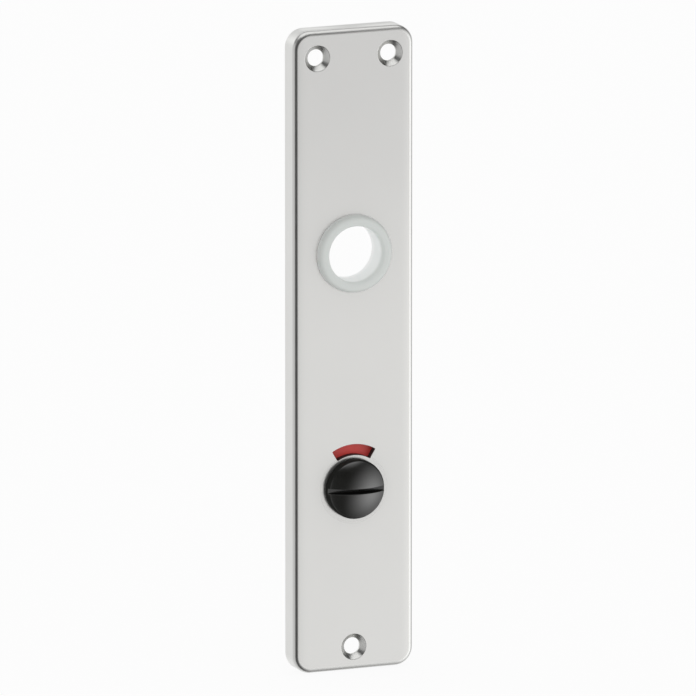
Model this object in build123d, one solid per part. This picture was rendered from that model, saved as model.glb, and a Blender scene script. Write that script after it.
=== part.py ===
from build123d import *
import os
from math import radians, cos, sin, asin, degrees, sqrt, pi

os.makedirs("parts", exist_ok=True)

# All sizes are in millimetres. X runs across the plate, Z up its length.
# The door surface is the plane y = 0 and the front of the plate looks along -Y.
# The origin is the axis of the handle hole where it meets the door surface.

# Plate outline
PLATE_WIDTH = 41.8
PLATE_TOP = 74.1
PLATE_BOTTOM = 138.7
PLATE_DEPTH = 8.0
PLATE_CORNER = 6.0
FRONT_EDGE_ROUND = 1.6
FACE_WALL = 2.5
SIDE_WALL = 2.2
INSIDE_BEVEL = 0.8
RIM_BREAK = 0.3

# Screw holes in the plate
TOP_SCREW_SPACING = 25.25
TOP_SCREW_HEIGHT = 65.2
BOTTOM_SCREW_DROP = 131.0
SCREW_HOLE_R = 2.75
SCREW_CONE_WIDTH = 1.65
SCREW_CONE_DEPTH = 1.65

# Handle bush
BORE_R = 9.25
SLEEVE_WALL = 1.6
SLEEVE_SHORT_OF_DOOR = 0.4
COLLAR_LAP = 2.0
COLLAR_EDGE_HEIGHT = 0.7
COLLAR_HEIGHT = 2.7
COLLAR_SHOULDER = 1.5
BORE_LIP = 0.8
BUSH_KEY_WIDTH = 2.4
BUSH_KEY_REACH = 0.7
BUSH_FIT = 0.05
BUSH_KEY_FIT = 0.1

# Rings and washers on the bush
BUSH_GROOVE_DEPTH = 0.6
BUSH_WASHER_WIDTH = 2.6
BUSH_WASHER_THICK = 0.8
BUSH_RING_THICK = 0.7
BUSH_RING_WIDTH = 1.7
BUSH_RING_GAP_HALF_ANGLE = 7.0

# Square socket for the lock spindle
SPINDLE_SIZE = 8.0
SPINDLE_FIT = 0.05
SOCKET_CORNER_WALL = 0.7
SOCKET_SIDE_WALL = 1.55
SOCKET_LENGTH = 5.6
SOCKET_FIT = 0.03
SOCKET_MOUTH_BREAK = 0.4

# Release knob
RELEASE_DROP = 78.0
TURN_AT_REST = 4.0
KNOB_R = 9.85
KNOB_SIDE_HEIGHT = 2.5
KNOB_CROWN_HEIGHT = 6.0
KNOB_EDGE_BREAK = 0.5
HEAD_GAP = 0.15
SHANK_WALL = 1.5
SHANK_FLAT_WALL = 1.3
SHANK_FIT = 0.08
SHANK_SHORT_OF_DOOR = 0.6
COIN_SLOT_WIDTH = 2.2
COIN_SLOT_DEPTH = 6.2
COIN_SLOT_RIM = 0.3

# Window and indicator
WINDOW_LAND = 1.15
WINDOW_HEIGHT = 3.6
WINDOW_HALF_ANGLE = 31.0
FIELD_LAP = 0.6
FIELD_ANGLE_LAP = 9.0
FIELD_THICK = 0.25
FIELD_GAP = 0.15
DISC_LAP = 0.9
DISC_THICK = 1.2
DISC_HUB_WIDTH = 2.5
DISC_HUB_STEP = 0.4
DISC_FIT = 0.05

# Stop pin and the notch that runs over it
QUARTER_TURN = 90.0
PIN_R = 1.2
PIN_FROM_RIM = 2.0
PIN_SINK = 1.6
PIN_FIT = 0.02
PIN_STAND = 2.4
PIN_TIP_BREAK = 0.4
PIN_PLAY = 0.12
NOTCH_PLAY = 0.5

# Rings and washers on the knob's shank
WASHER_FIT = 0.1
WAVE_WIDTH = 2.2
WAVE_THICK = 0.25
WAVE_RISE = 0.35
WAVE_COUNT = 3
THRUST_WASHER_WIDTH = 2.6
THRUST_WASHER_THICK = 0.5
KNOB_GROOVE_DEPTH = 0.7
KNOB_RING_THICK = 0.7
KNOB_RING_WIDTH = 1.6
RING_GAP_HALF_ANGLE = 14.0
RING_EAR_R = 1.5
RING_EAR_SHIFT = 0.45
RING_EAR_HOLE_R = 0.6
GROOVE_PLAY = 0.05
STACK_GAP = 0.02

# Cutting bodies stand this far out of what they cut
OVER = 1.0

# Radii that follow from the sizes above
SCREW_RIM_R = SCREW_HOLE_R + SCREW_CONE_WIDTH
SLEEVE_R = BORE_R + SLEEVE_WALL
COLLAR_R = SLEEVE_R + COLLAR_LAP
SPINDLE_HALF = SPINDLE_SIZE / 2 + SPINDLE_FIT
SOCKET_R = SPINDLE_HALF * sqrt(2) + SOCKET_CORNER_WALL
SOCKET_FLAT = SPINDLE_HALF + SOCKET_SIDE_WALL
SHANK_R = SOCKET_R + SHANK_WALL
SHANK_FLAT = SOCKET_FLAT + SHANK_FLAT_WALL
WINDOW_INNER_R = KNOB_R + WINDOW_LAND
WINDOW_OUTER_R = WINDOW_INNER_R + WINDOW_HEIGHT
FIELD_INNER_R = WINDOW_INNER_R - FIELD_LAP
FIELD_OUTER_R = WINDOW_OUTER_R + FIELD_LAP
DISC_R = FIELD_OUTER_R + DISC_LAP
DISC_HUB_R = SHANK_R + DISC_HUB_WIDTH
PIN_CIRCLE_R = DISC_R - PIN_FROM_RIM
NOTCH_FLOOR_R = PIN_CIRCLE_R - PIN_R - NOTCH_PLAY

# Levels behind the plate's front, measured along Y
FRONT = -PLATE_DEPTH
WALL_BACK = FRONT + FACE_WALL
BUSH_WASHER_FRONT = WALL_BACK + STACK_GAP
BUSH_RING_FRONT = BUSH_WASHER_FRONT + BUSH_WASHER_THICK + STACK_GAP
SLEEVE_END = -SLEEVE_SHORT_OF_DOOR
FIELD_FRONT = WALL_BACK + FIELD_GAP
DISC_FRONT = FIELD_FRONT + FIELD_THICK
DISC_BACK = DISC_FRONT + DISC_THICK
HUB_BACK = DISC_BACK + DISC_HUB_STEP
WAVE_FRONT = HUB_BACK + STACK_GAP
WAVE_BACK = WAVE_FRONT + WAVE_THICK + WAVE_RISE
THRUST_FRONT = WAVE_BACK + STACK_GAP
THRUST_BACK = THRUST_FRONT + THRUST_WASHER_THICK
KNOB_RING_FRONT = THRUST_BACK + STACK_GAP
SHANK_END = -SHANK_SHORT_OF_DOOR
SOCKET_FRONT = SHANK_END - SOCKET_LENGTH
PIN_Z = -RELEASE_DROP - PIN_CIRCLE_R


# Shape helpers

def rod(radius, y0, y1, x=0.0, z=0.0):
    """Round bar along Y between two levels."""
    bar = Cylinder(radius, y1 - y0, align=(Align.CENTER, Align.CENTER, Align.MIN))
    return Pos(x, y0, z) * Rot(-90, 0, 0) * bar


def block(x0, x1, y0, y1, z0, z1):
    """Rectangular block between two corners."""
    body = Box(x1 - x0, y1 - y0, z1 - z0)
    return Pos((x0 + x1) / 2, (y0 + y1) / 2, (z0 + z1) / 2) * body


def upright_panel(width, top, bottom, corner, y0, y1):
    """Round-cornered panel that stands in the XZ plane."""
    flat = RectangleRounded(width, top + bottom, corner)
    panel = extrude(flat, amount=y1 - y0)
    return Pos(0, y0, (top - bottom) / 2) * Rot(-90, 0, 0) * panel


def turned(points):
    """Body turned about the Y axis from (radius, level) points."""
    outline = make_face(Polyline(*[(r, y, 0) for r, y in points], close=True))
    return revolve(outline, axis=Axis.Y)


def arc_slab(inner, outer, middle, half, y0, y1):
    """Flat piece of a ring, centred on an angle from +X towards +Z."""
    a0 = radians(middle - half)
    a1 = radians(middle + half)
    am = radians(middle)

    def at(r, a):
        return (r * cos(a), 0, r * sin(a))

    edges = [
        Line(at(inner, a0), at(outer, a0)),
        ThreePointArc(at(outer, a0), at(outer, am), at(outer, a1)),
        Line(at(outer, a1), at(inner, a1)),
        ThreePointArc(at(inner, a1), at(inner, am), at(inner, a0)),
    ]
    face = make_face(edges)
    return Pos(0, y0, 0) * extrude(face, amount=y1 - y0, dir=(0, 1, 0))


def only(shape):
    """The single solid of a shape."""
    solids = shape.solids()
    assert len(solids) == 1, len(solids)
    return solids[0]


def on_release(shape):
    """Place a knob-side piece on its axis, turned as it stands at rest."""
    return Pos(0, 0, -RELEASE_DROP) * Rot(0, TURN_AT_REST, 0) * shape


# Plate

def screw_hole(x, z):
    """Through hole with its countersink, as a cutting body."""
    slope = SCREW_CONE_WIDTH / SCREW_CONE_DEPTH
    cone = turned([
        (0, FRONT - OVER),
        (SCREW_RIM_R + slope * OVER, FRONT - OVER),
        (SCREW_HOLE_R, FRONT + SCREW_CONE_DEPTH),
        (SCREW_HOLE_R, WALL_BACK + OVER),
        (0, WALL_BACK + OVER),
    ])
    return Pos(x, 0, z) * cone


def plate_shell():
    """Hollow shell with a rounded front edge and an open back."""
    shell = upright_panel(PLATE_WIDTH, PLATE_TOP, PLATE_BOTTOM, PLATE_CORNER, FRONT, 0)
    front_edges = shell.faces().sort_by(Axis.Y)[0].edges()
    shell = fillet(front_edges, FRONT_EDGE_ROUND)
    hollow = upright_panel(
        PLATE_WIDTH - 2 * SIDE_WALL,
        PLATE_TOP - SIDE_WALL,
        PLATE_BOTTOM - SIDE_WALL,
        PLATE_CORNER - SIDE_WALL,
        WALL_BACK,
        OVER,
    )
    hollow = chamfer(hollow.faces().sort_by(Axis.Y)[0].edges(), INSIDE_BEVEL)
    shell = shell - hollow
    rim = shell.faces().sort_by(Axis.Y)[-1]
    return chamfer(rim.edges(), RIM_BREAK)


def cover_plate():
    """Long backplate with all its openings."""
    plate = plate_shell()
    for x in (-TOP_SCREW_SPACING / 2, TOP_SCREW_SPACING / 2):
        plate -= screw_hole(x, TOP_SCREW_HEIGHT)
    plate -= screw_hole(0, -BOTTOM_SCREW_DROP)
    plate -= rod(SLEEVE_R + BUSH_FIT, FRONT - OVER, 0)
    key_reach = SLEEVE_R + BUSH_KEY_REACH + BUSH_KEY_FIT
    key_half = BUSH_KEY_WIDTH / 2 + BUSH_KEY_FIT
    plate -= block(-key_reach, key_reach, FRONT - OVER, 0, -key_half, key_half)
    plate -= rod(SHANK_R + SHANK_FIT, FRONT - OVER, 0, 0, -RELEASE_DROP)
    window = arc_slab(WINDOW_INNER_R, WINDOW_OUTER_R, 90, WINDOW_HALF_ANGLE, FRONT - OVER, 0)
    plate -= Pos(0, 0, -RELEASE_DROP) * window
    plate -= rod(PIN_R + PIN_FIT, WALL_BACK - PIN_SINK, 0, 0, PIN_Z)
    return only(plate)


# Handle bush and its rings

def handle_bush():
    """Bearing ring with a domed collar and a keyed sleeve."""
    crest = FRONT - COLLAR_HEIGHT
    edge = FRONT - COLLAR_EDGE_HEIGHT
    drop = edge - crest
    bush = turned([
        (BORE_R, SLEEVE_END),
        (BORE_R, crest + BORE_LIP),
        (BORE_R + BORE_LIP, crest),
        (COLLAR_R - COLLAR_SHOULDER, crest),
        (COLLAR_R - COLLAR_SHOULDER * 0.5, crest + drop * 0.18),
        (COLLAR_R - COLLAR_SHOULDER * 0.15, crest + drop * 0.5),
        (COLLAR_R, edge),
        (COLLAR_R, FRONT),
        (SLEEVE_R, FRONT),
        (SLEEVE_R, SLEEVE_END),
    ])
    reach = SLEEVE_R + BUSH_KEY_REACH
    half = BUSH_KEY_WIDTH / 2
    keys = block(-reach, reach, FRONT, WALL_BACK - BUSH_KEY_FIT, -half, half)
    keys -= rod(BORE_R + SLEEVE_WALL / 2, FRONT - OVER, 0)
    bush += keys
    return only(bush - groove(SLEEVE_R, BUSH_GROOVE_DEPTH, BUSH_RING_FRONT, BUSH_RING_THICK))


def groove(radius, depth, ring_front, ring_thick):
    """Cutting body for a retaining ring's groove."""
    y0 = ring_front - GROOVE_PLAY
    y1 = ring_front + ring_thick + GROOVE_PLAY
    return rod(radius + OVER, y0, y1) - rod(radius - depth, y0, y1)


def flat_washer(inner, width, y0, thick):
    """Plain washer about the Y axis."""
    ring = rod(inner + width, y0, y0 + thick)
    return only(ring - rod(inner, y0, y0 + thick))


def bush_washer():
    """Flat washer behind the plate wall."""
    return flat_washer(SLEEVE_R + WASHER_FIT, BUSH_WASHER_WIDTH, BUSH_WASHER_FRONT, BUSH_WASHER_THICK)


def open_ring(inner, width, y0, thick, gap_angle, gap_half):
    """Flat ring with a gap."""
    y1 = y0 + thick
    ring = rod(inner + width, y0, y1) - rod(inner, y0, y1)
    return ring - arc_slab(inner / 2, (inner + width) * 2, gap_angle, gap_half, y0, y1)


def bush_circlip():
    """Plain snap ring in the sleeve's groove."""
    inner = SLEEVE_R - BUSH_GROOVE_DEPTH + GROOVE_PLAY
    ring = open_ring(
        inner,
        BUSH_RING_WIDTH,
        BUSH_RING_FRONT,
        BUSH_RING_THICK,
        -90,
        BUSH_RING_GAP_HALF_ANGLE,
    )
    return only(ring)


# Release knob

def dome_radius():
    """Radius of the ball that shapes the knob's domed face."""
    rise = KNOB_CROWN_HEIGHT - KNOB_SIDE_HEIGHT
    return (KNOB_R ** 2 + rise ** 2) / (2 * rise)


def dome_level(radius):
    """Level of the knob's domed face at a distance from its axis."""
    ball_r = dome_radius()
    return FRONT - KNOB_CROWN_HEIGHT + ball_r - sqrt(ball_r ** 2 - radius ** 2)


def knob_head():
    """Round head with a high domed face and a broken edge."""
    under = FRONT - HEAD_GAP
    side = dome_level(KNOB_R) + KNOB_EDGE_BREAK
    edge_r = KNOB_R - KNOB_EDGE_BREAK
    slope = (side - dome_level(edge_r)) / KNOB_EDGE_BREAK
    before = dome_level(0) - OVER
    body = turned([
        (0, under),
        (KNOB_R, under),
        (KNOB_R, side),
        (edge_r - OVER, side - (KNOB_EDGE_BREAK + OVER) * slope),
        (edge_r - OVER, before),
        (0, before),
    ])
    ball_r = dome_radius()
    ball = Pos(0, FRONT - KNOB_CROWN_HEIGHT + ball_r, 0) * Sphere(ball_r)
    return body & ball


def shank():
    """Shank with two flats and a ring groove."""
    reach = SHANK_R + OVER
    keyed = rod(SHANK_R, FIELD_FRONT, SHANK_END)
    keyed = keyed & block(-reach, reach, FIELD_FRONT, SHANK_END, -SHANK_FLAT, SHANK_FLAT)
    bar = rod(SHANK_R, FRONT - HEAD_GAP, FIELD_FRONT) + keyed
    return bar - groove(SHANK_R, KNOB_GROOVE_DEPTH, KNOB_RING_FRONT, KNOB_RING_THICK)


def socket_outline(extra, y0, y1):
    """Round bar with two flats that fills the socket pocket."""
    half = SOCKET_FLAT + extra
    reach = SOCKET_R + extra + OVER
    return rod(SOCKET_R + extra, y0, y1) & block(-reach, reach, y0, y1, -half, half)


def coin_slot():
    """Disc-shaped cutter whose rim leaves a curved slot floor."""
    slot_end = KNOB_R - COIN_SLOT_RIM
    floor = dome_level(0) + COIN_SLOT_DEPTH
    sag = floor - dome_level(slot_end)
    coin_r = (slot_end ** 2 + sag ** 2) / (2 * sag)
    return Pos(0, floor - coin_r, 0) * Cylinder(coin_r, COIN_SLOT_WIDTH)


def release_knob():
    """Knob with its coin slot, shank and socket pocket."""
    knob = knob_head() + shank()
    knob -= socket_outline(SOCKET_FIT, SOCKET_FRONT - SOCKET_FIT, SHANK_END)
    knob -= coin_slot()
    return on_release(only(knob))


def spindle_socket():
    """Metal insert with the square hole for the lock spindle."""
    half = SPINDLE_HALF
    mouth = half + SOCKET_MOUTH_BREAK
    body = socket_outline(0, SOCKET_FRONT, SHANK_END)
    body -= block(-half, half, SOCKET_FRONT, SHANK_END, -half, half)
    inner = Plane((0, SHANK_END - SOCKET_MOUTH_BREAK, 0), z_dir=(0, 1, 0))
    outer = Plane((0, SHANK_END, 0), z_dir=(0, 1, 0))
    body -= loft([inner * Rectangle(2 * half, 2 * half), outer * Rectangle(2 * mouth, 2 * mouth)])
    return on_release(only(body))


# Indicator

def notch_angles():
    """Middle and half angle of the stop notch, with the knob on its locked stop."""
    play = degrees(asin((PIN_R + PIN_PLAY) / PIN_CIRCLE_R))
    return 270 + QUARTER_TURN / 2, QUARTER_TURN / 2 + play


def indicator_disc():
    """Disc with a thicker hub, keyed hole and stop notch."""
    disc = rod(DISC_R, DISC_FRONT, DISC_BACK) + rod(DISC_HUB_R, DISC_FRONT, HUB_BACK)
    reach = SHANK_R + OVER
    half = SHANK_FLAT + DISC_FIT
    hole = rod(SHANK_R + DISC_FIT, DISC_FRONT, HUB_BACK)
    disc -= hole & block(-reach, reach, DISC_FRONT, HUB_BACK, -half, half)
    middle, half_angle = notch_angles()
    disc -= arc_slab(NOTCH_FLOOR_R, DISC_R * 2, middle, half_angle, DISC_FRONT, HUB_BACK)
    return on_release(only(disc))


def colour_field(middle):
    """Thin coloured field on the front of the disc."""
    half = WINDOW_HALF_ANGLE + FIELD_ANGLE_LAP
    piece = arc_slab(FIELD_INNER_R, FIELD_OUTER_R, middle, half, FIELD_FRONT, DISC_FRONT)
    return on_release(only(piece))


def stop_pin():
    """Dowel pin with a broken tip, pressed into the plate wall."""
    pin = rod(PIN_R, WALL_BACK - PIN_SINK, WALL_BACK + PIN_STAND, 0, PIN_Z)
    tip = pin.faces().sort_by(Axis.Y)[-1].edges()
    return only(chamfer(tip, PIN_TIP_BREAK))


# Washers on the shank

def wave_arch():
    """One arched part of the spring washer, bent about a radial line."""
    inner = SHANK_R + WASHER_FIT
    outer = inner + WAVE_WIDTH
    half_angle = 180 / WAVE_COUNT
    chord = outer * sin(radians(half_angle))
    bend_r = (chord ** 2 + WAVE_RISE ** 2) / (2 * WAVE_RISE)
    sector = arc_slab(inner, outer, 90, half_angle, WAVE_FRONT - OVER, WAVE_BACK + OVER)
    sheet = Cylinder(bend_r + WAVE_THICK, 4 * outer) - Cylinder(bend_r, 4 * outer)
    return sector & (Pos(0, WAVE_FRONT + WAVE_THICK + bend_r, 0) * sheet)


def wave_washer():
    """Spring washer whose ring rises and falls in equal arches."""
    arch = wave_arch()
    washer = arch
    for i in range(1, WAVE_COUNT):
        washer += Rot(0, i * 360 / WAVE_COUNT, 0) * arch
    return on_release(only(washer))


def thrust_washer():
    """Flat washer between the spring washer and its ring."""
    washer = flat_washer(SHANK_R + WASHER_FIT, THRUST_WASHER_WIDTH, THRUST_FRONT, THRUST_WASHER_THICK)
    return on_release(washer)


def knob_circlip():
    """Retaining ring with an eyelet at each end, in the shank's groove."""
    inner = SHANK_R - KNOB_GROOVE_DEPTH + GROOVE_PLAY
    y0 = KNOB_RING_FRONT
    y1 = KNOB_RING_FRONT + KNOB_RING_THICK
    ear_r = inner + KNOB_RING_WIDTH / 2 + RING_EAR_SHIFT
    ear_turn = degrees(asin(RING_EAR_R / ear_r))
    ring = open_ring(inner, KNOB_RING_WIDTH, y0, KNOB_RING_THICK, 0, RING_GAP_HALF_ANGLE)
    for side in (-1, 1):
        angle = radians(side * (RING_GAP_HALF_ANGLE + ear_turn))
        ex = ear_r * cos(angle)
        ez = ear_r * sin(angle)
        ring += rod(RING_EAR_R, y0, y1, ex, ez) - rod(inner, y0, y1)
        ring -= rod(RING_EAR_HOLE_R, y0, y1, ex, ez)
    return on_release(only(ring))


pieces = {
    "cover_plate": cover_plate(),
    "handle_bush": handle_bush(),
    "bush_washer": bush_washer(),
    "bush_circlip": bush_circlip(),
    "release_knob": release_knob(),
    "spindle_socket": spindle_socket(),
    "indicator_disc": indicator_disc(),
    "red_field": colour_field(90),
    "green_field": colour_field(180),
    "wave_washer": wave_washer(),
    "thrust_washer": thrust_washer(),
    "knob_circlip": knob_circlip(),
    "stop_pin": stop_pin(),
}

for name, shape in pieces.items():
    export_step(shape, f"parts/{name}.step")
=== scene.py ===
"""Looks of a toilet door backplate with a handle bush, a coin-slot release and a colour window."""

import math

import bmesh
import bpy
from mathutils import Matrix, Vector
from mathutils.geometry import delaunay_2d_cdt


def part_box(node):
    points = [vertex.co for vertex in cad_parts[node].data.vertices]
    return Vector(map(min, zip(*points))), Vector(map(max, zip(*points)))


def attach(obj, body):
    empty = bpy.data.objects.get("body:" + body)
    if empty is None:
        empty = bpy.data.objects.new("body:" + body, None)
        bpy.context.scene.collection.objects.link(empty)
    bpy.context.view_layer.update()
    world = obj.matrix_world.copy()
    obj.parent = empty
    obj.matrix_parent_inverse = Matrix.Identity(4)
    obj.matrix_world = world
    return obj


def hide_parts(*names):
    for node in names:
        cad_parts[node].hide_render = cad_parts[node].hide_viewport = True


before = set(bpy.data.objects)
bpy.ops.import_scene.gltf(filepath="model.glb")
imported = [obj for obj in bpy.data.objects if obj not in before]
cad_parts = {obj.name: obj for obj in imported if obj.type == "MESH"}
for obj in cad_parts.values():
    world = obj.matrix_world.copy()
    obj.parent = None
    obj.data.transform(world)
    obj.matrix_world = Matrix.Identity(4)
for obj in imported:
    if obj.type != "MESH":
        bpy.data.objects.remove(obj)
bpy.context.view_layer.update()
MM = 0.001

# Plate; sizes are in millimetres and angles in degrees, here and for the pieces
PLATE_HALF_WIDTH = 20.9
PLATE_TOP = 74.1
PLATE_BOTTOM = -138.7
PLATE_CORNER = 6.0
FRONT = -8.0
WALL_BACK = -5.5
FRONT_EDGE_ROUND = 1.6
SIDE_WALL = 2.2
INSIDE_BEVEL = 0.8
RIM_BREAK = 0.3
HOLE_BREAK = 0.1
SCREW_PLACES = ((-12.625, 65.2), (12.625, 65.2), (0.0, -131.0))
SCREW_HOLE_R = 2.75
SCREW_RIM_R = 4.4
SCREW_RIM_SOFT = 0.12
SCREW_CONE_DEPTH = 1.65
BUSH_HOLE_R = 10.9
KNOB_HOLE_R = 8.0
WINDOW_INNER_R = 11.0
WINDOW_OUTER_R = 14.6
WINDOW_HALF_ANGLE = 31.0
WINDOW_CORNER = 0.25
WINDOW_SOFT = 0.10

# Bush
BORE_R = 9.25
SLEEVE_R = 10.85
SLEEVE_END = -0.4
SLEEVE_BREAK = 0.2
COLLAR_R = 12.85
COLLAR_CREST = -10.7
COLLAR_CREST_R = 11.15
COLLAR_EDGE = -8.7
COLLAR_BREAK = 0.15
BORE_LIP_WIDTH = 1.0
BORE_LIP_DEPTH = 1.1
BUSH_GROOVE_FLOOR = 10.25
BUSH_GROOVE = (-4.71, -3.91)

# Release knob; a slot's lip is given by the side of the slot, 1 for above and -1 for below
RELEASE_Z = -78.0
TURN_AT_REST = 4.0
KNOB_R = 9.85
KNOB_CROWN = -13.985
KNOB_DOME_R = 15.61
KNOB_EDGE_ROUND = 0.5
KNOB_UNDER = -8.15
KNOB_UNDER_BREAK = 0.10
COIN_SLOT_TURN = 0.6
COIN_SLOT_HALF_WIDTH = 0.88
COIN_SLOT_FLOOR = -9.93
COIN_SLOT_LIPS = {1: 0.04, -1: 0.12}
COIN_SLOT_LIP_SHARE = 0.3
COIN_SLOT_CLEAR = 0.12
RIM_GLOSS = 0.03
RIM_START = KNOB_R - KNOB_EDGE_ROUND
DOME_EDGE_ANGLE = math.asin(RIM_START / KNOB_DOME_R)
RIM_ROUND_R = KNOB_EDGE_ROUND / (1 - math.sin(DOME_EDGE_ANGLE))
SHANK_R = 7.93
SHANK_HALF_FLAT = 6.9
SHANK_ROUND_END = -5.35
SHANK_END = -0.6
SHANK_BREAK = 0.15
KNOB_GROOVE_FLOOR = 7.228
KNOB_GROOVE = (-2.39, -1.59)
POCKET_R = 6.458
POCKET_HALF_FLAT = 5.63
POCKET_FLOOR = -6.23

# Colour fields
FIELD_INNER_R = 10.4
FIELD_OUTER_R = 15.2
FIELD_HALF_ANGLE = 40.0
FIELD_CORNER = 0.4
FIELD_SOFT = 0.05
FIELD_BACK_SOFT = 0.02

# Mesh steps; a loop held this near to an edge keeps the face beside it evenly shaded
HOLD = 0.05
SHORT_HOLD = 0.04
FACE_HOLD = 0.06
HOLD_SHARE = 0.15
EDGE_STEPS = 14
LIP_STEPS = 10
ROUND_COUNT = 128
BUSH_COUNT = 160
SCREW_COUNT = 72
HALF_STEPS = 79
MOUTH_STEPS = 5
SLOT_STATIONS = 72
SLOT_LIP_STEPS = 5
RIM_STEPS = 3
DOME_RADII = (1.8, 2.5, 3.2, 3.9, 4.6, 5.3, 6.0, 6.6, 7.2, 7.8, 8.3, 8.8, 9.1)
RIM_RADII = (RIM_START, 9.42, 9.49, 9.56, 9.62, 9.67, 9.72, 9.76, 9.79, 9.82)
DOME_COUNT_PER_MM = 14
DOME_COUNT_LEAST = 24
MOUTH_HALVINGS = 40


# Mesh making; the two small distances are in metres and in millimetres

SAME_POINT = 1e-8
SHEET_TOLERANCE = 1e-7
SHARP_ANGLE = math.radians(40.0)


class Skin:
    """Points and faces of one piece, in millimetres."""

    def __init__(self):
        self.points = []
        self.faces = []
        self.finishes = []

    def loop(self, points):
        """Adds points and returns their numbers."""
        first = len(self.points)
        self.points.extend(points)
        return list(range(first, len(self.points)))

    def face(self, corners, finish=0):
        """Adds one face over numbered points."""
        self.faces.append(tuple(corners))
        self.finishes.append(finish)

    def band(self, a, b, finish=0):
        """Strip of faces between two closed loops of the same count."""
        count = len(a)
        for i in range(count):
            j = (i + 1) % count
            self.face((a[i], a[j], b[j], b[i]), finish)

    def bands(self, loops, finish=0):
        """Strips through a row of closed loops."""
        for a, b in zip(loops, loops[1:]):
            self.band(a, b, finish)

    def sheet(self, outer, holes=(), inner_points=(), finish=0):
        """Triangles between an outer loop and the loops of its holes, seen along Y."""
        rings = [outer] + list(holes)
        numbers = [k for ring in rings for k in ring] + list(inner_points)
        flat = [Vector((self.points[k][0], self.points[k][2])) for k in numbers]
        edges = []
        base = 0
        for ring in rings:
            count = len(ring)
            edges += [(base + i, base + (i + 1) % count) for i in range(count)]
            base += count
        made = delaunay_2d_cdt(flat, edges, [], 0, SHEET_TOLERANCE)
        spots, triangles, sources = made[0], made[2], made[3]
        outlines = [[(self.points[k][0], self.points[k][2]) for k in ring] for ring in rings]
        for triangle in triangles:
            x = sum(spots[k][0] for k in triangle) / 3
            z = sum(spots[k][1] for k in triangle) / 3
            if inside(x, z, outlines[0]) and not any(inside(x, z, o) for o in outlines[1:]):
                self.face([numbers[sources[k][0]] for k in triangle], finish)

    def build(self, name, finishes, body, stands_for):
        """Makes the object, gives it its finishes and sets it on its body in place of a node."""
        mesh = bpy.data.meshes.new(name)
        mesh.from_pydata([[c * MM for c in p] for p in self.points], [], self.faces)
        work = bmesh.new()
        work.from_mesh(mesh)
        work.faces.ensure_lookup_table()
        for face, finish in zip(work.faces, self.finishes):
            face.material_index = finish
            face.smooth = True
        bmesh.ops.remove_doubles(work, verts=work.verts, dist=SAME_POINT)
        bmesh.ops.recalc_face_normals(work, faces=work.faces)
        work.to_mesh(mesh)
        work.free()
        mesh.set_sharp_from_angle(angle=SHARP_ANGLE)
        for finish in finishes:
            mesh.materials.append(finish)
        piece = bpy.data.objects.new(name, mesh)
        bpy.context.scene.collection.objects.link(piece)
        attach(piece, body)
        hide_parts(stands_for)


def inside(x, z, outline):
    """Whether a point lies inside a closed outline."""
    hit = False
    x1, z1 = outline[-1]
    for x2, z2 in outline:
        if (z1 > z) != (z2 > z) and x < (x2 - x1) * (z - z1) / (z2 - z1) + x1:
            hit = not hit
        x1, z1 = x2, z2
    return hit


def circle(radius, y, x=0.0, z=0.0, count=ROUND_COUNT):
    """Points of a circle that faces along Y."""
    steps = [2 * math.pi * i / count for i in range(count)]
    return [(x + radius * math.cos(a), y, z + radius * math.sin(a)) for a in steps]


def panel_outline(inset, y, corner_steps=14):
    """Points of the plate's round-cornered outline, drawn in by an inset."""
    half = PLATE_HALF_WIDTH - PLATE_CORNER
    top = PLATE_TOP - PLATE_CORNER
    bottom = PLATE_BOTTOM + PLATE_CORNER
    radius = PLATE_CORNER - inset
    points = []
    for x, z, start in ((half, top, 0), (-half, top, 90), (-half, bottom, 180), (half, bottom, 270)):
        for i in range(corner_steps + 1):
            a = math.radians(start + 90 * i / corner_steps)
            points.append((x + radius * math.cos(a), y, z + radius * math.sin(a)))
    return points


def quarter_round(r0, y0, r1, y1, steps, first="y"):
    """Quarter ellipse between two (radius, level) points, with its first tangent along r or y."""
    made = []
    for i in range(steps + 1):
        a = math.pi / 2 * i / steps
        along = math.sin(a)
        across = 1 - math.cos(a)
        if first == "y":
            made.append((r0 + (r1 - r0) * across, y0 + (y1 - y0) * along))
        else:
            made.append((r0 + (r1 - r0) * along, y0 + (y1 - y0) * across))
    return made


def arc_outline(inner, outer, half_angle, y, corner, middle=90.0, steps=40, corner_steps=4):
    """Outline of a piece of a ring with slightly rounded corners."""
    points = []
    turn_out = math.degrees(corner / outer)
    turn_in = math.degrees(corner / inner)
    low, high = middle - half_angle, middle + half_angle

    def at(radius, angle):
        """Point at a distance from the middle and an angle."""
        a = math.radians(angle)
        return (radius * math.cos(a), y, radius * math.sin(a))

    def bow(r0, a0, r1, a1, radial_first):
        """Adds the points of a rounded corner."""
        for i in range(1, corner_steps):
            t = math.pi / 2 * i / corner_steps
            u, v = math.sin(t), 1 - math.cos(t)
            if radial_first:
                points.append(at(r0 + (r1 - r0) * u, a0 + (a1 - a0) * v))
            else:
                points.append(at(r0 + (r1 - r0) * v, a0 + (a1 - a0) * u))

    for i in range(steps + 1):
        points.append(at(outer, low + turn_out + (high - low - 2 * turn_out) * i / steps))
    bow(outer, high - turn_out, outer - corner, high, False)
    points.append(at(outer - corner, high))
    points.append(at(inner + corner, high))
    bow(inner + corner, high, inner, high - turn_in, True)
    for i in range(steps + 1):
        points.append(at(inner, high - turn_in - (high - low - 2 * turn_in) * i / steps))
    bow(inner, low + turn_in, inner + corner, low, False)
    points.append(at(inner + corner, low))
    points.append(at(outer - corner, low))
    bow(outer - corner, low, outer, low + turn_out, True)
    return points


def on_release(points, turn=TURN_AT_REST):
    """Points placed on the release's axis and turned, as it stands at rest unless a turn is given."""
    c = math.cos(math.radians(turn))
    s = math.sin(math.radians(turn))
    return [(x * c + z * s, y, -x * s + z * c + RELEASE_Z) for x, y, z in points]


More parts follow.
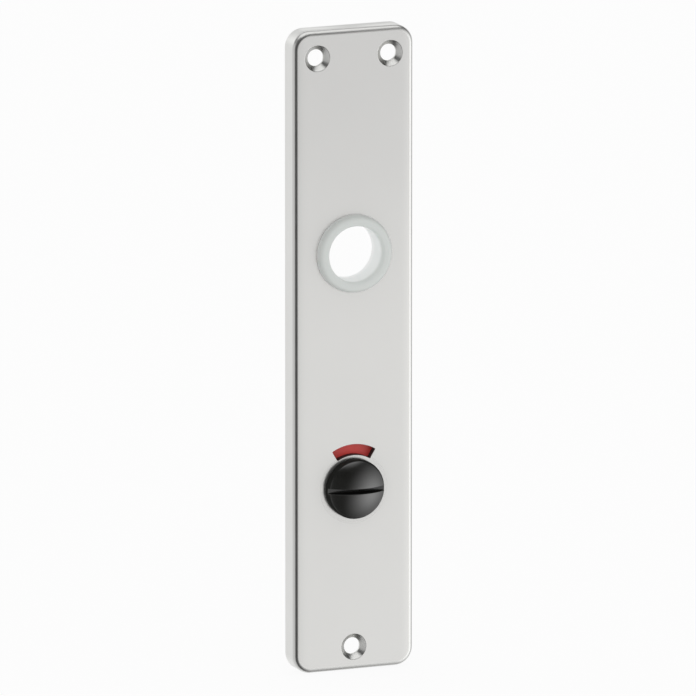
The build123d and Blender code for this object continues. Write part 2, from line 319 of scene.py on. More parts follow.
# Shader making

class Signal:
    """Output of a shader node that plain arithmetic works on."""

    def __init__(self, finish, socket):
        self.finish = finish
        self.socket = socket

    def __add__(self, other):
        return self.finish.math("ADD", self, other)

    def __sub__(self, other):
        return self.finish.math("SUBTRACT", self, other)

    def __rsub__(self, other):
        return self.finish.math("SUBTRACT", other, self)

    def __mul__(self, other):
        return self.finish.math("MULTIPLY", self, other)

    def __truediv__(self, other):
        return self.finish.math("DIVIDE", self, other)

    __radd__ = __add__
    __rmul__ = __mul__


class Finish:
    """A node tree of a material, world or lamp under construction."""

    def __init__(self, tree):
        self.tree = tree

    def node(self, kind, settings=None, sockets=None, output=0):
        """Adds a node: first its settings, then the values or links of its sockets."""
        made = self.tree.nodes.new(kind)
        for key, value in (settings or {}).items():
            if key == "stops":
                ramp = made.color_ramp
                while len(ramp.elements) < len(value):
                    ramp.elements.new(0.5)
                for stop, (place, colour) in zip(ramp.elements, value):
                    stop.position = place
                    stop.color = (*colour, 1.0)
            else:
                setattr(made, key, value)
        for key, value in (sockets or {}).items():
            self.feed(made.inputs[key], value)
        return Signal(self, made.outputs[output])

    def feed(self, socket, value):
        """Links a signal to a socket, or sets its value."""
        if isinstance(value, Signal):
            self.tree.links.new(value.socket, socket)
        else:
            socket.default_value = value

    def show(self, kind, surface):
        """Ends the tree in an output node that shows a surface."""
        self.feed(self.tree.nodes.new(kind).inputs["Surface"], surface)

    def math(self, operation, first, second=0.0):
        """Result of one step of plain arithmetic."""
        return self.node("ShaderNodeMath", {"operation": operation}, {0: first, 1: second})

    def parts(self, vector):
        """The three parts of a vector."""
        split = self.node("ShaderNodeSeparateXYZ", None, {0: vector}).socket.node
        return [Signal(self, socket) for socket in split.outputs]

    def ramp(self, value, start, end, low=0.0, high=1.0, kind="SMOOTHSTEP"):
        """Goes from a low to a high result while a value goes from a start to an end."""
        sockets = {0: value, 1: start, 2: end, 3: low, 4: high}
        return self.node("ShaderNodeMapRange", {"interpolation_type": kind}, sockets)

    def place(self, stretch=(1.0, 1.0, 1.0)):
        """Point on the piece in millimetres, stretched."""
        spot = self.node("ShaderNodeTexCoord", output="Object")
        scale = [1 / MM * s for s in stretch]
        settings = {"operation": "MULTIPLY"}
        return self.node("ShaderNodeVectorMath", settings, {0: spot, 1: scale})

    def noise(self, size, detail=2.0, roughness=0.5, stretch=(1.0, 1.0, 1.0)):
        """Noise from 0 to 1 with patches of a size in millimetres."""
        spot = self.place([s / size for s in stretch])
        sockets = {"Vector": spot, "Scale": 1.0, "Detail": detail, "Roughness": roughness}
        return self.node("ShaderNodeTexNoise", None, sockets)

    def blend(self, factor, first, second, way="MIX"):
        """Colour made of two colours that are signals or have an alpha."""
        settings = {"data_type": "RGBA", "blend_type": way}
        return self.node("ShaderNodeMix", settings, {0: factor, 6: first, 7: second}, output=2)

    def tint(self, factor, low, high):
        """Colour between two plain colours."""
        return self.blend(factor, (*low, 1.0), (*high, 1.0))

    def bump(self, height, strength, distance_mm, under=None):
        """Normal from a height, on top of another normal where one is given."""
        sockets = {"Strength": strength, "Distance": distance_mm * MM, "Height": height}
        if under:
            sockets["Normal"] = under
        return self.node("ShaderNodeBump", None, sockets)


def finish_of(name, **fixed):
    """New material with its plain numbers set on the shader itself."""
    material = bpy.data.materials.new(name)
    material.use_nodes = True
    finish = Finish(material.node_tree)
    shader = material.node_tree.nodes["Principled BSDF"]
    for key, value in fixed.items():
        finish.feed(shader.inputs[key.replace("_", " ")], value)
    return material, finish, shader.inputs


# Where the face's look changes: painted shade by height, a painted contact shade by distance from the
# release's axis, and a fall by distance from the middle
FACE_PAINTED_SHADE_HEIGHTS = (-35.0, 70.0)
FACE_PAINTED_CONTACT_SHADE = (10.7, 11.9)
SHOULDER_START = 15.9
SHOULDER_FALL = 0.14


def satin_aluminium():
    """Satin anodised aluminium of the face, with a fine upright grain.

    Its colour is painted darker towards the top as painted shade, it falls away at its long sides, and
    close round the knob it is more metallic, so that it mirrors the dark knob there as a painted contact
    shade.
    """
    material, f, into = finish_of("satin_anodised_aluminium")
    cloud = f.noise(18.0, 3.0)
    grain = f.noise(0.22, 3.0, 0.6, (1.0, 1.0, 0.06))
    speck = f.noise(0.12, 2.0, 0.5)
    across, _, height = f.parts(f.place())
    # Painted shade: the face's colour is darker towards the top, as if less light fell there
    shade_by_height = f.tint(f.ramp(height, *FACE_PAINTED_SHADE_HEIGHTS), (0.89, 0.885, 0.865), (0.805, 0.80, 0.785))
    paler = f.tint(cloud, (0.96, 0.96, 0.96), (1.0, 1.0, 1.0))
    f.feed(into["Base Color"], f.blend(1.0, shade_by_height, paler, "MULTIPLY"))
    f.feed(into["Roughness"], 0.20 + 0.04 * cloud + 0.05 * grain)
    above_knob = height - RELEASE_Z
    from_knob = f.math("SQRT", across * across + above_knob * above_knob)
    # Painted contact shade: the face is more metallic in a ring close round the knob, so that it mirrors
    # the dark knob there like a shadow
    f.feed(into["Metallic"], f.ramp(from_knob, *FACE_PAINTED_CONTACT_SHADE, low=0.95, high=0.65))
    off_middle = f.math("ABSOLUTE", across)
    shoulder = f.ramp(off_middle, SHOULDER_START, PLATE_HALF_WIDTH, kind="LINEAR")
    fall = f.bump(-SHOULDER_FALL * shoulder * shoulder * shoulder, 1.0, 1.0)
    f.feed(into["Normal"], f.bump(0.6 * grain + 0.4 * speck, 0.08, 0.02, fall))
    return material


def edge_aluminium():
    """Smoother anodised aluminium of the rounded edge and the walls."""
    material, f, into = finish_of(
        "drawn_edge_aluminium",
        Metallic=1.0,
        Anisotropic=0.6,
        Anisotropic_Rotation=0.25,
    )
    cloud = f.noise(9.0, 3.0)
    draw = f.noise(0.3, 3.0, 0.6, (1.0, 0.5, 0.5))
    f.feed(into["Base Color"], f.tint(cloud, (0.82, 0.82, 0.80), (0.87, 0.87, 0.855)))
    f.feed(into["Roughness"], 0.27 + 0.06 * cloud + 0.04 * draw)
    f.feed(into["Normal"], f.bump(draw, 0.05, 0.01))
    return material


TOOL_RINGS = 70.0


def turned_aluminium():
    """Bright aluminium cut by a countersink, with fine tool rings."""
    material, f, into = finish_of("turned_aluminium", Metallic=1.0)
    _, depth, _ = f.parts(f.place())
    rings = f.math("SINE", depth * TOOL_RINGS)
    wear = f.noise(0.8, 3.0)
    f.feed(into["Base Color"], f.tint(wear, (0.80, 0.80, 0.78), (0.88, 0.88, 0.86)))
    f.feed(into["Roughness"], 0.22 + 0.08 * wear)
    f.feed(into["Normal"], f.bump(rings + wear, 0.05, 0.01))
    return material


def painted_shade_window_wall():
    """Dark metal on the window's walls, painted shade for the shadow down between the face and the
    colour field.
    """
    material, f, into = finish_of("painted_shade_window_wall", Metallic=0.3)
    tear = f.noise(0.5, 4.0, 0.6, (1.0, 0.2, 1.0))
    # Painted shade: the window's walls are coloured near black
    f.feed(into["Base Color"], f.tint(tear, (0.03, 0.025, 0.025), (0.07, 0.06, 0.06)))
    f.feed(into["Roughness"], 0.45 + 0.20 * tear)
    f.feed(into["Normal"], f.bump(tear, 0.20, 0.02))
    return material


# Where painted shade and painted light change the nylon's colour: by distance from the bush's axis and
# by level
COLLAR_PAINTED_SHADE = (12.9, 11.2)
BORE_PAINTED_LIGHT = (-10.2, -7.5)
BORE_END_PAINTED_GLOW = (-3.6, -1.6)


def pale_nylon():
    """Pale frosted nylon of the handle bush, with painted light in its bore, which is paler than the
    collar and near white at its back end where daylight comes through, and painted shade on the collar's
    outer edge.
    """
    material, f, into = finish_of(
        "pale_nylon",
        IOR=1.45,
        Subsurface_Weight=0.25,
        Subsurface_Radius=(0.9 * MM, 1.0 * MM, 1.0 * MM),
        Subsurface_Scale=1.0,
    )
    flow = f.noise(3.5, 3.0)
    skin = f.noise(0.25, 2.0)
    across, depth, height = f.parts(f.place())
    reach = f.math("SQRT", across * across + height * height)
    # Painted shade: the collar's colour darkens towards its outer edge
    rim = f.ramp(reach, *COLLAR_PAINTED_SHADE)
    collar = f.tint(rim + 0.2 * flow, (0.575, 0.595, 0.575), (0.67, 0.695, 0.675))
    # Painted light: the bore is a paler copy of the nylon, and its back end is painted near white
    bore = f.tint(flow, (0.88, 0.90, 0.89), (0.93, 0.95, 0.94))
    mixed = f.blend(f.ramp(depth, *BORE_PAINTED_LIGHT), collar, bore)
    end = f.ramp(depth, *BORE_END_PAINTED_GLOW)
    f.feed(into["Base Color"], f.blend(end, mixed, (0.985, 0.99, 0.985, 1.0)))
    f.feed(into["Roughness"], 0.42 + 0.12 * flow)
    f.feed(into["Normal"], f.bump(skin, 0.06, 0.02))
    return material


def gloss_black(name="gloss_black_plastic", roughness=0.17, shine=0.9):
    """Black moulded plastic of the knob's dome and of the slot's floor."""
    material, f, into = finish_of(name, IOR=1.8, Specular_IOR_Level=shine)
    flow = f.noise(4.0, 3.0)
    peel = f.noise(0.6, 2.0)
    f.feed(into["Base Color"], f.tint(flow, (0.007, 0.007, 0.006), (0.012, 0.012, 0.010)))
    f.feed(into["Roughness"], roughness + 0.08 * flow)
    f.feed(into["Normal"], f.bump(peel, 0.05, 0.02))
    return material


def dull_black():
    """Duller black of the knob's rim and underside."""
    material, f, into = finish_of("dull_black_plastic", IOR=1.45, Specular_IOR_Level=0.2)
    flow = f.noise(3.0, 3.0)
    grain = f.noise(0.2, 2.0)
    f.feed(into["Base Color"], f.tint(flow, (0.008, 0.008, 0.007), (0.014, 0.014, 0.012)))
    f.feed(into["Roughness"], 0.50 + 0.12 * flow)
    f.feed(into["Normal"], f.bump(grain, 0.10, 0.02))
    return material


def colour_coat(name, low, high):
    """Glossy colour printed on the indicator disc."""
    material, f, into = finish_of(name, IOR=1.5)
    cloud = f.noise(1.6, 3.0)
    dots = f.noise(0.12, 2.0)
    f.feed(into["Base Color"], f.tint(cloud, low, high))
    f.feed(into["Roughness"], 0.30 + 0.12 * cloud)
    f.feed(into["Normal"], f.bump(dots, 0.06, 0.02))
    return material


def moulded_white():
    """White moulded plastic of the indicator disc."""
    material, f, into = finish_of("moulded_white_plastic", IOR=1.5)
    flow = f.noise(5.0, 3.0)
    spark = f.noise(0.15, 2.0)
    f.feed(into["Base Color"], f.tint(flow, (0.66, 0.66, 0.63), (0.72, 0.72, 0.70)))
    f.feed(into["Roughness"], 0.42 + 0.12 * flow)
    f.feed(into["Normal"], f.bump(spark, 0.12, 0.02))
    return material


def small_steel(name, low, high, roughness):
    """Metal of the small hidden pieces: plated, dark or bright."""
    material, f, into = finish_of(name, Metallic=1.0)
    cloud = f.noise(0.7, 4.0, 0.6)
    grain = f.noise(0.1, 2.0, 0.5, (1.0, 0.15, 1.0))
    f.feed(into["Base Color"], f.tint(cloud, low, high))
    f.feed(into["Roughness"], roughness + 0.15 * cloud)
    f.feed(into["Normal"], f.bump(grain, 0.10, 0.01))
    return material


# Pieces

def countersink():
    """Radius and level of the loops down a screw hole: soft rim, cone and straight hole."""
    rim, hole, hold = SCREW_RIM_R, SCREW_HOLE_R, SHORT_HOLD
    cone_end = FRONT + SCREW_CONE_DEPTH
    rows = [(rim + HOLD, FRONT)]
    for inward, down in ((0.0, 0.0), (0.4, 0.12), (0.75, 0.35), (1.0, 1.0)):
        rows.append((rim - inward * SCREW_RIM_SOFT, FRONT + down * SCREW_RIM_SOFT))
    rows.append((rim - SCREW_RIM_SOFT - hold, FRONT + SCREW_RIM_SOFT + hold))
    rows += [(hole + 2 * hold, cone_end - 2 * hold), (hole + hold, cone_end - hold)]
    rows += [(hole, cone_end + hold), (hole, cone_end + 2 * hold)]
    rows += [(hole, WALL_BACK - 2 * hold), (hole, WALL_BACK - hold), (hole + hold, WALL_BACK)]
    return rows


def window_outline(grow, y):
    """Outline of the colour window, grown on all sides."""
    inner, outer = WINDOW_INNER_R - grow, WINDOW_OUTER_R + grow
    half_angle = WINDOW_HALF_ANGLE + math.degrees(grow / WINDOW_OUTER_R)
    return on_release(arc_outline(inner, outer, half_angle, y, WINDOW_CORNER + grow), 0.0)


def cover_plate(finishes):
    """Hollow plate with a rounded front edge and all its openings."""
    skin = Skin()
    edge = quarter_round(0.0, FRONT + FRONT_EDGE_ROUND, FRONT_EDGE_ROUND, FRONT, EDGE_STEPS)
    outside = [(RIM_BREAK, 0.0), (0.0, -RIM_BREAK), (0.0, -RIM_BREAK - HOLD)]
    outside += [(0.0, FRONT + FRONT_EDGE_ROUND + HOLD)] + edge + [(FRONT_EDGE_ROUND + FACE_HOLD, FRONT)]
    loops = [skin.loop(panel_outline(inset, y)) for inset, y in outside]
    skin.bands(loops[:-2], finish=1)
    skin.bands(loops[-3:])
    hollow = [(SIDE_WALL + RIM_BREAK, 0.0), (SIDE_WALL, -RIM_BREAK)]
    hollow += [(SIDE_WALL, WALL_BACK + INSIDE_BEVEL), (SIDE_WALL + INSIDE_BEVEL, WALL_BACK)]
    walls = [skin.loop(panel_outline(inset, y)) for inset, y in hollow]
    skin.band(loops[0], walls[0], finish=1)
    skin.bands(walls)
    front_holes, back_holes = [], []
    for x, z in SCREW_PLACES:
        rings = [skin.loop(circle(r, y, x, z, SCREW_COUNT)) for r, y in countersink()]
        skin.bands(rings[:2])
        skin.bands(rings[1:], finish=2)
        front_holes.append(rings[0])
        back_holes.append(rings[-1])
    for radius, z in ((BUSH_HOLE_R, 0.0), (KNOB_HOLE_R, RELEASE_Z)):
        rows = [(radius + HOLE_BREAK, FRONT), (radius, FRONT + HOLE_BREAK)]
        rows += [(radius, WALL_BACK - HOLE_BREAK), (radius + HOLE_BREAK, WALL_BACK)]
        rings = [skin.loop(circle(r, y, 0.0, z)) for r, y in rows]
        skin.bands(rings)
        front_holes.append(rings[0])
        back_holes.append(rings[-1])
    soft, nearly = WINDOW_SOFT, 0.3 * WINDOW_SOFT
    rows = [(soft + HOLD, FRONT), (soft, FRONT), (nearly, FRONT + nearly)]
    rows += [(0.0, FRONT + soft), (0.0, WALL_BACK)]
    rings = [skin.loop(window_outline(grow, y)) for grow, y in rows]
    skin.bands(rings[:3])
    skin.bands(rings[2:], finish=3)
    front_holes.append(rings[0])
    back_holes.append(rings[-1])
    skin.sheet(loops[-1], front_holes)
    skin.sheet(walls[-1], back_holes)
    skin.build("backplate", finishes, "plate", "cover_plate")


def handle_bush(finish):
    """Bearing ring with a domed collar, a sleeve and its ring groove."""
    groove_front, groove_back = BUSH_GROOVE
    sleeve_break = SLEEVE_END - SLEEVE_BREAK
    lip_r, lip_level = BORE_R + BORE_LIP_WIDTH, COLLAR_CREST + BORE_LIP_DEPTH
    rows = [(BORE_R + SLEEVE_BREAK, SLEEVE_END), (BORE_R, sleeve_break), (BORE_R, sleeve_break - HOLD)]
    rows += quarter_round(BORE_R, lip_level, lip_r, COLLAR_CREST, LIP_STEPS)
    rows += quarter_round(COLLAR_CREST_R, COLLAR_CREST, COLLAR_R, COLLAR_EDGE, EDGE_STEPS, first="r")
    rows += [(COLLAR_R, FRONT - COLLAR_BREAK), (COLLAR_R - COLLAR_BREAK, FRONT), (SLEEVE_R, FRONT)]
    rows += [(SLEEVE_R, groove_front), (BUSH_GROOVE_FLOOR, groove_front)]
    rows += [(BUSH_GROOVE_FLOOR, groove_back), (SLEEVE_R, groove_back)]
    rows += [(SLEEVE_R, sleeve_break), (SLEEVE_R - SLEEVE_BREAK, SLEEVE_END)]
    skin = Skin()
    rings = [skin.loop(circle(r, y, count=BUSH_COUNT)) for r, y in rows]
    skin.bands(rings)
    skin.band(rings[-1], rings[0])
    skin.build("bearing_bush", [finish], "plate", "handle_bush")


def dome(radius):
    """Level of the knob's domed face at a distance from its axis."""
    return KNOB_CROWN + KNOB_DOME_R - math.sqrt(KNOB_DOME_R ** 2 - radius ** 2)


def knob_face(radius):
    """Level of the knob's dome and rounded rim at a distance from its axis."""
    if radius <= RIM_START:
        return dome(radius)
    lean = math.sin(DOME_EDGE_ANGLE) + (radius - RIM_START) / RIM_ROUND_R
    rise = math.sqrt(max(1 - lean * lean, 0.0))
    return dome(RIM_START) + RIM_ROUND_R * (math.cos(DOME_EDGE_ANGLE) - rise)


def slot_mouth_r():
    """Distance from the axis at which the rounded rim is down at the coin slot's floor."""
    low, high = RIM_START, KNOB_R
    for _ in range(MOUTH_HALVINGS):
        middle = (low + high) / 2
        if knob_face(middle) < COIN_SLOT_FLOOR:
            low = middle
        else:
            high = middle
    return low


MOUTH_R = slot_mouth_r()
MOUTH_ANGLE = math.degrees(math.asin(COIN_SLOT_HALF_WIDTH / MOUTH_R))


def slot_wall(x, side):
    """Points down one wall of the coin slot at a place along it, from its rounded lip to its floor."""
    depth = COIN_SLOT_FLOOR - knob_face(math.hypot(x, COIN_SLOT_HALF_WIDTH))
    lip = min(COIN_SLOT_LIPS[side], COIN_SLOT_LIP_SHARE * depth)
    points = []
    for k in range(SLOT_LIP_STEPS + 1):
        a = math.pi / 2 * k / SLOT_LIP_STEPS
        z = COIN_SLOT_HALF_WIDTH + lip * (1 - math.sin(a))
        points.append((x, knob_face(math.hypot(x, z)) + lip * (1 - math.cos(a)), side * z))
    top = points[-1][1]
    held = min(HOLD_SHARE * (COIN_SLOT_FLOOR - top), HOLD)
    for level in (top + held, COIN_SLOT_FLOOR - held, COIN_SLOT_FLOOR):
        points.append((x, level, side * COIN_SLOT_HALF_WIDTH))
    return points


def split_circle(radius, y):
    """Circle with points where the coin slot's two ends come out."""
    mouth = MOUTH_ANGLE
    spots = []
    for start, end, count in ((mouth, 180 - mouth, HALF_STEPS), (180 - mouth, 180 + mouth, MOUTH_STEPS)):
        spots += [start + (end - start) * i / count for i in range(count)]
    spots += [a + 180 for a in spots]
    turns = [math.radians(a) for a in spots]
    return [(radius * math.cos(a), y, radius * math.sin(a)) for a in turns]


def flatted_circle(radius, half_flat, y):
    """Circle cut by two flats, as a loop of the release."""
    ring = split_circle(radius, y)
    return on_release([(x, y, max(-half_flat, min(half_flat, z))) for x, y, z in ring])


def rim_rows():
    """Radius and level of the loops from the slot's floor down the rim and the side of the knob."""
    edge = math.sin(DOME_EDGE_ANGLE)
    start = math.asin((MOUTH_R - RIM_START) / RIM_ROUND_R + edge)
    rows = []
    for i in range(1, RIM_STEPS + 1):
        a = start + (math.pi / 2 - start) * i / RIM_STEPS
        level = dome(RIM_START) + RIM_ROUND_R * (math.cos(DOME_EDGE_ANGLE) - math.cos(a))
        rows.append((RIM_START + RIM_ROUND_R * (math.sin(a) - edge), level))
    rows.append((KNOB_R, rows[-1][1] + HOLD))
    under = KNOB_UNDER - KNOB_UNDER_BREAK
    rows += [(KNOB_R, under - SHORT_HOLD), (KNOB_R, under), (KNOB_R - KNOB_UNDER_BREAK, KNOB_UNDER)]
    return rows


def shank_rows():
    """Radius, half width over the flats and level of the loops along the shank and into its pocket."""
    front, back = KNOB_GROOVE
    flat, end = SHANK_HALF_FLAT, SHANK_END
    rows = [(SHANK_R, KNOB_R, KNOB_UNDER), (SHANK_R, KNOB_R, SHANK_ROUND_END)]
    rows += [(SHANK_R, flat, SHANK_ROUND_END), (SHANK_R, flat, front)]
    rows += [(KNOB_GROOVE_FLOOR, flat, front), (KNOB_GROOVE_FLOOR, flat, back), (SHANK_R, flat, back)]
    rows += [(SHANK_R, flat, end - SHANK_BREAK), (SHANK_R - SHANK_BREAK, flat - SHANK_BREAK, end)]
    rows += [(POCKET_R, POCKET_HALF_FLAT, end), (POCKET_R, POCKET_HALF_FLAT, POCKET_FLOOR)]
    return rows


def dull_the_rim(skin, first):
    """Gives the dull finish to the faces from a number on that lie on the rounded rim."""
    for k in range(first, len(skin.faces)):
        spots = [skin.points[n] for n in skin.faces[k]]
        x = sum(p[0] for p in spots) / len(spots)
        z = sum(p[2] for p in spots) / len(spots) - RELEASE_Z
        if math.hypot(x, z) > RIM_START + RIM_GLOSS:
            skin.finishes[k] = 1


def release_knob(finishes):
    """Domed round knob with a straight coin slot open at both ends, on a flatted shank."""
    skin = Skin()

    def on_head(points):
        """Adds points of the head, turned as the coin slot stands."""
        return skin.loop(on_release(points, COIN_SLOT_TURN))

    rim = on_head(split_circle(MOUTH_R, COIN_SLOT_FLOOR))
    half_turn = HALF_STEPS + MOUTH_STEPS
    slot_end = MOUTH_R * math.cos(math.radians(MOUTH_ANGLE))
    clear = COIN_SLOT_HALF_WIDTH + COIN_SLOT_LIPS[-1] + COIN_SLOT_CLEAR
    floor_lines = []
    for side, arc in ((1, rim[:HALF_STEPS + 1]), (-1, rim[half_turn:half_turn + HALF_STEPS + 1])):
        walls = []
        for i in range(1, SLOT_STATIONS):
            walls.append(on_head(slot_wall(-slot_end * math.cos(math.pi * i / SLOT_STATIONS), side)))
        for a, b in zip(walls, walls[1:]):
            for k in range(len(a) - 1):
                skin.face((a[k], a[k + 1], b[k + 1], b[k]), 0 if k < SLOT_LIP_STEPS else 1)
        left, right = (arc[-1], arc[0])[::side]
        for tip, row in ((left, walls[0]), (right, walls[-1])):
            for a, b in zip(row, row[1:]):
                skin.face((tip, a, b), 1)
        floor_lines.append([row[-1] for row in walls])
        lip_line = [row[0] for row in walls]
        spread = []
        for radius in DOME_RADII + RIM_RADII:
            count = max(int(radius * DOME_COUNT_PER_MM), DOME_COUNT_LEAST)
            ring = circle(radius, knob_face(radius), count=count)
            spread += on_head([p for p in ring if p[2] * side > clear])
        first = len(skin.faces)
        skin.sheet(arc + lip_line[::side], inner_points=spread)
        dull_the_rim(skin, first)
    left_arc = rim[HALF_STEPS:half_turn + 1]
    right_arc = rim[half_turn + HALF_STEPS:] + rim[:1]
    skin.sheet(left_arc + floor_lines[1] + right_arc + floor_lines[0][::-1], finish=2)
    rings = [rim] + [on_head(split_circle(r, y)) for r, y in rim_rows()]
    rings += [skin.loop(flatted_circle(*row)) for row in shank_rows()]
    skin.bands(rings, finish=1)
    skin.face(rings[-1], finish=1)
    skin.build("coin_knob", finishes, "release", "release_knob")


def colour_field(name, finish, node, middle):
    """Thin coloured arc on the disc."""
    low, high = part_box(node)
    front, back = low.y / MM, high.y / MM
    skin = Skin()
    loops = []
    rows = [(-FIELD_SOFT, front), (0.0, front + FIELD_SOFT)]
    rows += [(0.0, back - FIELD_BACK_SOFT), (-FIELD_BACK_SOFT, back)]
    for grow, y in rows:
        inner, outer = FIELD_INNER_R - grow, FIELD_OUTER_R + grow
        outline = arc_outline(inner, outer, FIELD_HALF_ANGLE, y, FIELD_CORNER, middle=middle)
        loops.append(skin.loop(on_release(outline)))
    skin.bands(loops)
    skin.sheet(loops[0])
    skin.sheet(loops[-1])
    skin.build(name, [finish], "release", node)


cover_plate([satin_aluminium(), edge_aluminium(), turned_aluminium(), painted_shade_window_wall()])
handle_bush(pale_nylon())
slot_black = gloss_black("slot_floor_black", roughness=0.15, shine=0.5)
release_knob([gloss_black(), dull_black(), slot_black])
red = colour_coat("signal_red", (0.74, 0.062, 0.055), (0.84, 0.085, 0.075))
green = colour_coat("signal_green", (0.03, 0.30, 0.09), (0.04, 0.38, 0.12))
colour_field("red_arc", red, "red_field", 90.0)
colour_field("green_arc", green, "green_field", 180.0)

# Pieces behind the plate keep the part's own shapes
ZINC = ((0.58, 0.58, 0.56), (0.68, 0.68, 0.66), 0.25)
DARK_STEEL = ((0.07, 0.07, 0.075), (0.12, 0.12, 0.125), 0.35)
hidden = {
    "indicator_disc": moulded_white(),
    "spindle_socket": small_steel("plated_zinc_casting", (0.50, 0.50, 0.51), (0.60, 0.60, 0.61), 0.28),
    "bush_washer": small_steel("zinc_plated_steel", *ZINC),
    "thrust_washer": small_steel("zinc_plated_washer", *ZINC),
    "bush_circlip": small_steel("dark_ring_steel", *DARK_STEEL),
    "knob_circlip": small_steel("dark_eyelet_ring_steel", *DARK_STEEL),
    "wave_washer": small_steel("bright_spring_steel", (0.38, 0.38, 0.40), (0.46, 0.46, 0.48), 0.22),
    "stop_pin": small_steel("plain_pin_steel", (0.50, 0.50, 0.50), (0.60, 0.60, 0.60), 0.20),
}
for node_name, material in hidden.items():
    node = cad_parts[node_name]
    node.data.materials.clear()
    node.data.materials.append(material)


# Studio; sizes here are in metres

def way_to(azimuth, elevation):
    """Direction at an azimuth to the right of the plate's front and an elevation, in degrees."""
    a, e = math.radians(azimuth), math.radians(elevation)
    return Vector((math.sin(a) * math.cos(e), -math.cos(a) * math.cos(e), math.sin(e)))


# Brightness of the studio by its bearing, in degrees to the right of the plate's front
WALL_LEVELS = (
    (-180, 0.92), (-158, 0.78), (-128, 0.68), (-98, 0.60), (-76, 0.62), (-62, 0.44), (-50, 0.06),
    (-40, 0.03), (80, 0.03), (95, 0.12), (110, 0.42), (130, 0.62), (158, 0.68), (180, 0.92),
)
# Where walls and ceiling start and end, as the part of the direction that points up or to the back
WALL_FADES = (0.22, 0.60)
CEILING = (0.70, 0.85)
BACK_WALL = (0.50, 0.90)
BACK_WALL_RISES = (0.0, 0.20)
# How bright they are, and the glow on the wall to the right
UPPER_WALL_SHARE = 0.15
CEILING_LEVEL = 0.95
BACK_WALL_LEVEL = 0.25
GLOW_WAY = way_to(53.0, -18.0)
GLOW_SPREAD = 0.235
GLOW_LEVEL = 1.5
GLOW_CUT = 0.12
# Even light for what isn't mirrored, and white paper for what the camera sees
SOFT_LEVEL = 0.85
PAPER_LEVEL = 1.0
PAPER_RAYS = ("Camera", "Glossy", "Transmission")
WHITE = (1.0, 1.0, 1.0, 1.0)


def studio_world():
    """White paper all round for the camera, a studio for what is mirrored, even light for the rest."""
    world = bpy.data.worlds.new("studio")
    world.use_nodes = True
    bpy.context.scene.world = world
    f = Finish(world.node_tree)
    world.node_tree.nodes.clear()
    way = f.node("ShaderNodeTexCoord", output="Generated")
    east, north, up = f.parts(way)
    share = 0.5 + f.math("ARCTAN2", east, -1.0 * north) / (2 * math.pi)
    stops = [(0.5 + degrees / 360, (level, level, level)) for degrees, level in WALL_LEVELS]
    around = f.node("ShaderNodeValToRGB", {"stops": stops}, {0: share})
    fade = f.ramp(up, *WALL_FADES, low=1.0, high=UPPER_WALL_SHARE)
    product = {"operation": "DOT_PRODUCT"}
    nearness = f.node("ShaderNodeVectorMath", product, {0: way, 1: GLOW_WAY}, output=1)
    bell = f.math("EXPONENT", (nearness - 1.0) / GLOW_SPREAD)
    glow = f.math("MAXIMUM", GLOW_LEVEL * bell - GLOW_CUT)
    back = f.ramp(north, *BACK_WALL, high=BACK_WALL_LEVEL) * f.ramp(up, *BACK_WALL_RISES)
    level = around * fade + glow + back
    level = level + (CEILING_LEVEL - level) * f.ramp(up, *CEILING)
    mirrored = f.node("ShaderNodeLightPath", output="Is Glossy Ray")
    seen = f.node("ShaderNodeLightPath", output="Is Camera Ray")
    level = SOFT_LEVEL + (level - SOFT_LEVEL) * mirrored
    level = level + (PAPER_LEVEL - level) * seen
    background = f.node("ShaderNodeBackground", None, {"Color": WHITE, "Strength": level})
    f.show("ShaderNodeOutputWorld", background)


FLOOR_HALF_SIZE = 6.0
FLOOR_GAP = 0.0004
FLOOR_GREY = 0.85
PAPER_SHARE = 0.92


def studio_floor():
    """Pale floor under the plate, white to the camera but for the object's shadow."""
    mesh = bpy.data.meshes.new("floor")
    size = FLOOR_HALF_SIZE
    level = PLATE_BOTTOM * MM - FLOOR_GAP
    corners = [(-size, -size, level), (size, -size, level), (size, size, level), (-size, size, level)]
    mesh.from_pydata(corners, [], [(0, 1, 2, 3)])
    floor = bpy.data.objects.new("floor", mesh)
    bpy.context.scene.collection.objects.link(floor)
    material = bpy.data.materials.new("pale_floor")
    material.use_nodes = True
    f = Finish(material.node_tree)
    material.node_tree.nodes.clear()
    grey = (FLOOR_GREY, FLOOR_GREY, FLOOR_GREY, 1.0)
    paint = f.node("ShaderNodeBsdfDiffuse", None, {"Color": grey})
    paper = f.node("ShaderNodeEmission", None, {"Color": WHITE, "Strength": PAPER_LEVEL})
    rays = [f.node("ShaderNodeLightPath", output=f"Is {kind} Ray") for kind in PAPER_RAYS]
    share = PAPER_SHARE * (rays[0] + rays[1] + rays[2])
    top = f.node("ShaderNodeMixShader", None, {0: share, 1: paint, 2: paper})
    under = f.node("ShaderNodeNewGeometry", output="Backfacing")
    clear = f.node("ShaderNodeBsdfTransparent")
    surface = f.node("ShaderNodeMixShader", None, {0: under, 1: top, 2: clear})
    f.show("ShaderNodeOutputMaterial", surface)
    mesh.materials.append(material)
    floor.visible_diffuse = False
    floor.visible_glossy = False
    floor.visible_shadow = False


def heading(azimuth, elevation, distance, target):
    """Point seen from a target at an azimuth to the right of the plate's front and an elevation."""
    return target + distance * way_to(azimuth, elevation)


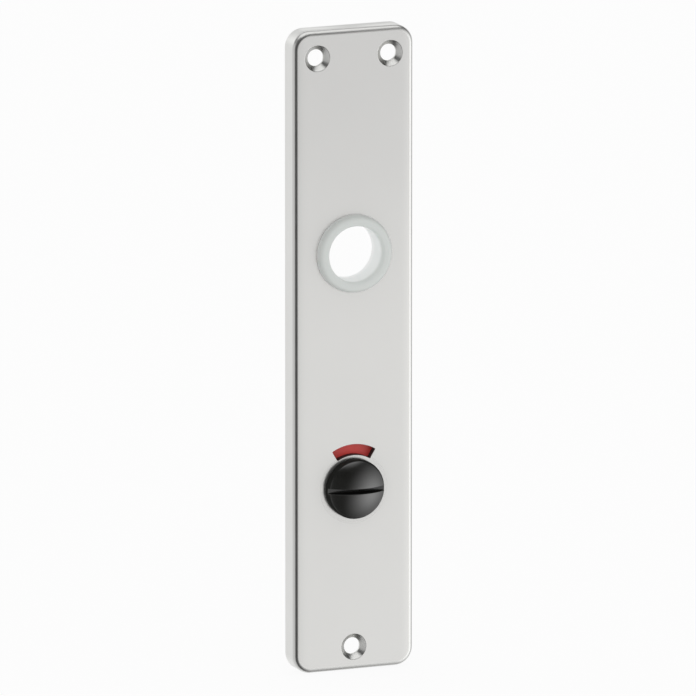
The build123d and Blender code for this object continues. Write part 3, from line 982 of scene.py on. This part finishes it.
def aim(thing, target):
    """Turns a lamp or camera to face a point, upright."""
    thing.rotation_mode = "QUATERNION"
    thing.rotation_quaternion = (target - thing.location).to_track_quat("-Z", "Y")


def soft_box(name, place, target, size, level):
    """Square lamp with faded edges that faces a point, of a brightness at its middle."""
    lamp = bpy.data.lights.new(name, "AREA")
    lamp.shape = "RECTANGLE"
    lamp.size = size
    lamp.size_y = size
    lamp.energy = level * math.pi * size * size
    lamp.use_nodes = True
    f = Finish(lamp.node_tree)
    lamp.node_tree.nodes.clear()
    u, v, _ = f.parts(f.node("ShaderNodeNewGeometry", output="Parametric"))
    fade = 4.0 * u * (1.0 - u) * 4.0 * v * (1.0 - v)
    glow = f.node("ShaderNodeEmission", None, {"Color": WHITE, "Strength": fade})
    f.show("ShaderNodeOutputLight", glow)
    box = bpy.data.objects.new(name, lamp)
    bpy.context.scene.collection.objects.link(box)
    box.location = place
    aim(box, target)
    box.visible_camera = False
    box.visible_glossy = False


KNOB_PLACE = Vector((0.0, FRONT, RELEASE_Z)) * MM
BOX_PLACE = heading(55, -18, 0.45, KNOB_PLACE)
studio_world()
studio_floor()
soft_box("right_soft_box", BOX_PLACE, KNOB_PLACE, size=0.35, level=1.5)


# Camera, its angles and distance seen from the point it looks at

CAMERA_TARGET = Vector((1.172, 0.0, -33.130)) * MM
CAMERA_AZIMUTH = -21.652
CAMERA_ELEVATION = 12.323
CAMERA_DISTANCE = 5.0
CAMERA_LENS_MM = 795.9
CAMERA_SENSOR_MM = 36.0
CAMERA_REACH = 100.0

camera_data = bpy.data.cameras.new("camera")
camera_data.sensor_width = CAMERA_SENSOR_MM
camera_data.lens = CAMERA_LENS_MM
camera_data.clip_end = CAMERA_REACH
camera = bpy.data.objects.new("camera", camera_data)
bpy.context.scene.collection.objects.link(camera)
camera.location = heading(CAMERA_AZIMUTH, CAMERA_ELEVATION, CAMERA_DISTANCE, CAMERA_TARGET)
aim(camera, CAMERA_TARGET)
bpy.context.scene.camera = camera
bpy.context.scene.view_settings.view_transform = "Standard"
